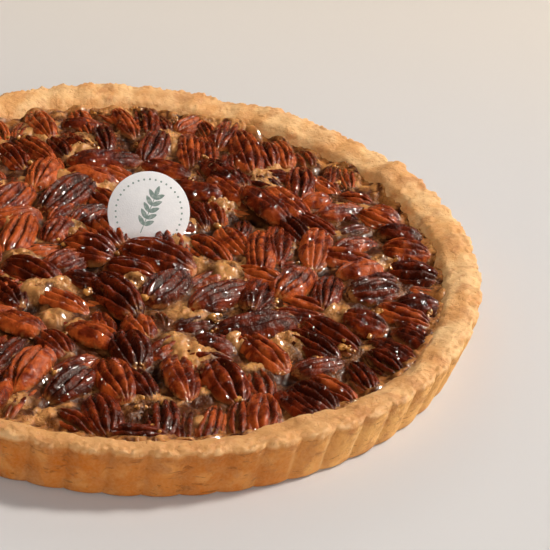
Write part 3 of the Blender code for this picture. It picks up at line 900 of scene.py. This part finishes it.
def makePecans():
    models = {name: makePecanModel(name) for name in pecan["models"]}
    models["snapped"] = makePecanModel("plump", snapped=True)
    piles = {name: [] for name in models}
    rng = random.Random(61)
    for spot in spots:
        kind = pickModel(spot)
        piles[kind].append(placePecan(models[kind], spot, rng.choice((0, math.pi))))
    for model in models.values():
        bpy.data.objects.remove(model)
    made = []
    for name, pile in piles.items():
        heap = joinAll(pile, "pecans_" + name)
        points = readPoints(heap)
        skin = roughen(points, pecan["skinSize"], 6, 2)
        wrinkle = roughen(points, pecan["wrinkleSize"], 7, 2)
        pushOut(heap, pecan["skinDepth"] * skin + pecan["wrinkleDepth"] * wrinkle)
        shadeRound(heap)
        print(heap.name, len(heap.data.polygons), "faces")
        made.append(heap)
    return made


def makePecanMaterial():
    material, tree, shader = newMaterial("glazedPecan")
    grooveShade = (0.010, 0.0012, 0.0005)
    mahogany = (0.045, 0.005, 0.001)
    redBrown = (0.165, 0.018, 0.003)
    orange = (0.46, 0.082, 0.014)
    scuffTan = (0.54, 0.22, 0.06)
    fleshCream = (0.78, 0.56, 0.28)
    custardFilm = (0.34, 0.14, 0.04)
    patches = addProduct(tree, addPatches(tree, 170, 0.30, 0.66, 5, 0.5), 0.44)
    warmth = addMath(tree, "ADD", patches, addProduct(tree, addMark(tree, "tone"), 0.52))
    colour = addRamp(tree, warmth, [(0.20, mahogany), (0.52, redBrown), (0.80, orange)])
    # Painted shade: near black in the grooves and underneath
    colour = addTint(tree, colour, addMark(tree, "groove"), 0.82, grooveShade, True)
    scuffs = addProduct(tree, addMark(tree, "scuff"), addPatches(tree, 330, 0.46, 0.62, 5, 0.8))
    colour = addTint(tree, colour, scuffs, 0.6, scuffTan)
    colour = addMix(tree, addMark(tree, "flesh"), colour, fleshCream)
    split = addNode(tree, "ShaderNodeSeparateXYZ")
    connect(tree, addObjectPlace(tree), split.inputs["Vector"])
    low = addStep(tree, addProduct(tree, split.outputs["Z"], -1.0), -17.5 * mm, -14.0 * mm)
    film = addProduct(tree, low, addPatches(tree, 110, 0.42, 0.60, 4, 0.6))
    colour = addTint(tree, colour, film, 0.6, custardFilm)
    connect(tree, colour, shader.inputs["Base Color"])

    fine = addBump(tree, addPatches(tree, 1300, 0.3, 0.7, 2), 0.12 * mm, 0.5)
    ripple = addPatches(tree, 480, 0.3, 0.7, 3, 0.4)
    connect(tree, addBump(tree, ripple, 0.30 * mm, 0.6, fine), shader.inputs["Normal"])
    glaze = addBump(tree, addClouds(tree, 200, 0.25, 0.75, 2), 0.4 * mm, 0.5)
    beaded = addProduct(tree, addClouds(tree, 300, 0.40, 0.66, 0.5), addClouds(tree, 75, 0.28, 0.42, 2))
    connect(tree, addBump(tree, beaded, 1.9 * mm, 1.0, glaze), shader.inputs["Coat Normal"])
    setSockets(shader, {
        "Roughness": 0.45, "Specular IOR Level": 0.02,
        "Coat Weight": 0.9, "Coat IOR": 1.45, "Coat Roughness": 0.02,
    })
    return material


pecanMaterial = makePecanMaterial()
for heap in makePecans():
    finishPiece(heap, pecanMaterial, "pecan_filling", "pecan_filling")
print("pecans done")


# Baked beads of custard that cling to the ends and sides of the nuts

beads = {
    "groups": 115,
    "perGroup": (2, 6),
    "reach": 123,  # millimetres from the middle
    "alongShare": 0.47, "acrossShare": 0.52,
    "spread": 3.0,  # millimetres
    "size": (0.35, 1.1), "nub": 1.7,
    "squash": 0.7, "tilt": 0.6,
    "lumpSize": 1.5 * mm, "lumpDepth": 0.75 * mm,
    "lowest": 0.6, "highest": 4.0, "uneven": 0.8,  # millimetres over the filling's level
}


def makeBeads():
    rng = random.Random(17)
    bpy.ops.mesh.primitive_ico_sphere_add(subdivisions=2, radius=1)
    model = bpy.context.object
    made = []
    for _ in range(beads["groups"]):
        spot = rng.choice(spots)
        heading = math.radians(spot["heading"])
        around = rng.choice((0, math.pi)) + rng.uniform(-0.8, 0.8)
        along = math.cos(around) * spot["length"] * beads["alongShare"]
        across = math.sin(around) * spot["width"] * beads["acrossShare"]
        x = spot["x"] + along * math.cos(heading) - across * math.sin(heading)
        y = spot["y"] + along * math.sin(heading) + across * math.cos(heading)
        if math.hypot(x, y) > beads["reach"]:
            continue
        base = pie["fillLevel"] / mm + beads["lowest"]
        base = base + rng.random() ** 1.5 * (beads["highest"] - beads["lowest"])
        for index in range(rng.randint(*beads["perGroup"])):
            bead = copyObject(model)
            size = rng.uniform(*beads["size"]) * (beads["nub"] if index == 0 else 1)
            tilt = beads["tilt"]
            bead.scale = (size * mm, size * mm, size * beads["squash"] * mm)
            bead.rotation_euler = (rng.uniform(-tilt, tilt), rng.uniform(-tilt, tilt), rng.uniform(0, turn))
            beadX = x + rng.gauss(0, 0.5) * beads["spread"]
            beadY = y + rng.gauss(0, 0.5) * beads["spread"]
            beadZ = base + rng.uniform(-beads["uneven"], beads["uneven"])
            bead.location = Vector((beadX, beadY, beadZ)) * mm
            made.append(bead)
    bpy.data.objects.remove(model)
    heap = joinAll(made, "custard_beads")
    pushOut(heap, beads["lumpDepth"] * roughen(readPoints(heap), beads["lumpSize"], 9, 2))
    shadeRound(heap)
    print(heap.name, len(heap.data.polygons), "faces")
    return heap


def makeBeadMaterial():
    material, tree, shader = newMaterial("bakedBeads")
    brown = (0.15, 0.042, 0.006)
    tan = (0.52, 0.225, 0.050)
    colour = addMix(tree, addPatches(tree, 240, 0.34, 0.62, 4), brown, tan)
    connect(tree, colour, shader.inputs["Base Color"])
    connect(tree, addBump(tree, addPatches(tree, 1200, 0.3, 0.7, 2), 0.1 * mm, 0.6), shader.inputs["Normal"])
    setSockets(shader, {
        "Roughness": 0.5, "Specular IOR Level": 0.03, "Coat Weight": 0.25, "Coat Roughness": 0.15,
    })
    return material


finishPiece(makeBeads(), makeBeadMaterial(), "pecan_filling", "pecan_filling")
print("beads done")


# Card standing in the filling

card = {
    "radius": 16.9 * mm,
    "thickness": 0.5 * mm,
    "centre": Vector((2.0, 11.8, 25.6)) * mm,
    "lean": math.radians(30.2),
    "sides": 160,
    "edge": 0.08 * mm,
    "inkHeight": 0.03 * mm,
    "ringRadius": 13.6 * mm, "ringDots": 36, "dotRadius": 0.42 * mm, "dotSides": 12,
    "sprigTilt": math.radians(-18),
    "leafPairs": 5, "leafLength": 4.6 * mm, "leafWidth": 1.9 * mm, "leafStep": 2.9 * mm,
    "leafSpread": math.radians(48), "leafSides": 20,
    "stemWidth": 0.34 * mm, "stemDrop": 1.0 * mm,
}


def cardPlace():
    facing = Vector((0, -math.cos(card["lean"]), math.sin(card["lean"])))
    upward = Vector((0, math.sin(card["lean"]), math.cos(card["lean"])))
    axes = Matrix((upward.cross(facing), upward, facing)).transposed().to_4x4()
    return Matrix.Translation(card["centre"]) @ axes


def makeCard():
    deselectAll()
    bpy.ops.mesh.primitive_cylinder_add(vertices=card["sides"], radius=card["radius"],
                                        depth=card["thickness"], end_fill_type="NGON")
    disc = bpy.context.object
    bpy.ops.object.mode_set(mode="EDIT")
    bpy.ops.mesh.select_all(action="SELECT")
    bpy.ops.mesh.bevel(offset=card["edge"], segments=2)
    bpy.ops.object.mode_set(mode="OBJECT")
    disc.matrix_world = cardPlace()
    applyPlace(disc)
    giveName(disc, "card_disc")
    shadeRound(disc, 40)
    return disc


def makeLeaf(x, y, heading):
    bpy.ops.mesh.primitive_cylinder_add(vertices=card["leafSides"], radius=1, depth=1,
                                        location=(x, y, 0), rotation=(0, 0, heading))
    leaf = bpy.context.object
    points = readPoints(leaf)
    points[:, 1] *= (1 - points[:, 0] ** 2) ** 0.2 * (1 - 0.2 * points[:, 0])
    writePoints(leaf, points)
    leaf.scale = (card["leafLength"] / 2, card["leafWidth"] / 2, card["inkHeight"])
    return leaf


def makePrint():
    # A plain leaf sprig in a ring of dots
    deselectAll()
    marks = []
    for index in range(card["ringDots"]):
        angle = turn * index / card["ringDots"]
        place = (card["ringRadius"] * math.cos(angle), card["ringRadius"] * math.sin(angle), 0)
        bpy.ops.mesh.primitive_cylinder_add(vertices=card["dotSides"], radius=card["dotRadius"],
                                            depth=card["inkHeight"], location=place)
        marks.append(bpy.context.object)
    stemLength = card["leafStep"] * (card["leafPairs"] + 0.6)
    bpy.ops.mesh.primitive_cube_add(size=1, location=(0, -card["stemDrop"], 0))
    stem = bpy.context.object
    stem.scale = (card["stemWidth"], stemLength, card["inkHeight"])
    marks.append(stem)
    top = stemLength / 2 - card["stemDrop"]
    reach = card["leafLength"] / 2
    for pair in range(card["leafPairs"]):
        y = top - card["leafStep"] * (pair + 0.4)
        for side in (-1, 1):
            heading = math.pi / 2 - side * card["leafSpread"]
            marks.append(makeLeaf(reach * math.cos(heading), y + reach * math.sin(heading), heading))
    marks.append(makeLeaf(0, top + reach, math.pi / 2))
    ink = joinAll(marks, "card_print")
    face = card["thickness"] / 2 + card["inkHeight"] / 2
    tilt = Matrix.Rotation(card["sprigTilt"], 4, "Z")
    ink.matrix_world = cardPlace() @ Matrix.Translation((0, 0, face)) @ tilt
    applyPlace(ink)
    return ink


def makeCardMaterial():
    material, tree, shader = newMaterial("whiteCard")
    greyWhite = (0.86, 0.865, 0.88)
    white = (0.92, 0.92, 0.93)
    colour = addMix(tree, addPatches(tree, 260, 0.3, 0.7, 5), greyWhite, white)
    connect(tree, colour, shader.inputs["Base Color"])
    connect(tree, addBump(tree, addPatches(tree, 1500, 0.3, 0.7, 3), 0.05 * mm, 0.5), shader.inputs["Normal"])
    setSockets(shader, {"Roughness": 0.62, "Specular IOR Level": 0.08})
    return material


def makeInkMaterial():
    material, tree, shader = newMaterial("greyGreenInk")
    wornInk = (0.36, 0.43, 0.41)
    fullInk = (0.16, 0.25, 0.225)
    colour = addMix(tree, addPatches(tree, 900, 0.25, 0.6, 3), wornInk, fullInk)
    connect(tree, colour, shader.inputs["Base Color"])
    setSockets(shader, {"Roughness": 0.6})
    return material


finishPiece(makeCard(), makeCardMaterial(), "paper_disc", "paper_disc")
finishPiece(makePrint(), makeInkMaterial(), "paper_disc", "paper_disc")
print("card done")


# Floor, light and camera

bpy.context.scene.view_settings.view_transform = "Standard"

studio = {
    "floorSize": 6.0,
    "floorNear": (0.59, 0.58, 0.585), "floorFar": (0.63, 0.58, 0.53), "farFrom": (0.05, 0.35),
    "roomColour": (0.93, 0.90, 0.87), "roomStrength": 0.36,
}
# Azimuth and height in degrees, distance and size in metres
lamps = {
    "keyLamp": {"azimuth": 15, "height": 42, "distance": 3.0, "size": 0.40, "power": 77,
                "colour": (1.0, 0.94, 0.86)},
    # Seen only as glints on the glaze
    "glintLamp": {"azimuth": 15, "height": 42, "distance": 3.0, "size": 0.30, "power": 1250,
                  "colour": (1.0, 0.88, 0.74), "lighting": False},
    "backLamp": {"azimuth": 100, "height": 34, "distance": 1.6, "size": 0.7, "power": 4,
                 "colour": (1.0, 0.96, 0.91), "mirrored": False},
    "frontLamp": {"azimuth": 285, "height": 28, "distance": 1.6, "size": 1.0, "power": 8,
                  "colour": (1.0, 0.96, 0.91), "mirrored": False},
    "sheenLamp": {"azimuth": 100, "height": 34, "distance": 1.6, "size": 0.9, "power": 0.2,
                  "colour": (1.0, 0.72, 0.52), "lighting": False},
}
camera = {
    "place": Vector((-4.120, -542.078, 347.543)) * mm,
    "yaw": 0.110254, "pitch": 0.558299, "roll": 0.128588,
    "lens": 101.41, "sensor": 36,
    "nearest": 10 * mm,
}


def makeFloor():
    deselectAll()
    bpy.ops.mesh.primitive_plane_add(size=studio["floorSize"])
    floor = bpy.context.object
    floor.name = "studio_floor"
    material, tree, shader = newMaterial("paleFloor")
    split = addNode(tree, "ShaderNodeSeparateXYZ")
    connect(tree, addObjectPlace(tree), split.inputs["Vector"])
    far = addStep(tree, split.outputs["Y"], *studio["farFrom"])
    connect(tree, addMix(tree, far, studio["floorNear"], studio["floorFar"]), shader.inputs["Base Color"])
    setSockets(shader, {"Roughness": 0.8, "Specular IOR Level": 0.03})
    floor.data.materials.append(material)


def addLamp(name, azimuth, height, distance, size, power, colour, mirrored=True, lighting=True):
    lamp = bpy.data.lights.new(name, "AREA")
    lamp.shape = "DISK"
    lamp.size = size
    lamp.energy = power
    lamp.color = colour
    obj = bpy.data.objects.new(name, lamp)
    bpy.context.scene.collection.objects.link(obj)
    across = math.radians(azimuth)
    up = math.radians(height)
    level = math.cos(up)
    direction = Vector((math.cos(across) * level, math.sin(across) * level, math.sin(up)))
    obj.location = direction * distance
    obj.rotation_euler = direction.to_track_quat("Z", "Y").to_euler()
    obj.visible_glossy = mirrored
    obj.visible_diffuse = lighting


def makeLights():
    for name, lamp in lamps.items():
        addLamp(name, **lamp)
    world = bpy.data.worlds.new("softRoom")
    bpy.context.scene.world = world
    world.use_nodes = True
    backdrop = world.node_tree.nodes["Background"]
    setSockets(backdrop, {"Color": (*studio["roomColour"], 1), "Strength": studio["roomStrength"]})
    world.cycles_visibility.glossy = False


def makeCamera():
    lens = bpy.data.cameras.new("photoCamera")
    lens.lens = camera["lens"]
    lens.sensor_width = camera["sensor"]
    lens.clip_start = camera["nearest"]
    obj = bpy.data.objects.new("photoCamera", lens)
    bpy.context.scene.collection.objects.link(obj)
    yaw, pitch, roll = camera["yaw"], camera["pitch"], camera["roll"]
    forward = Vector((math.sin(yaw) * math.cos(pitch), math.cos(yaw) * math.cos(pitch), -math.sin(pitch)))
    level = Vector((math.cos(yaw), -math.sin(yaw), 0))
    upward = level.cross(forward)
    right = math.cos(roll) * level + math.sin(roll) * upward
    top = -math.sin(roll) * level + math.cos(roll) * upward
    axes = Matrix((right, top, -forward)).transposed().to_4x4()
    obj.matrix_world = Matrix.Translation(camera["place"]) @ axes
    bpy.context.scene.camera = obj


makeFloor()
makeLights()
makeCamera()
print("stage done")
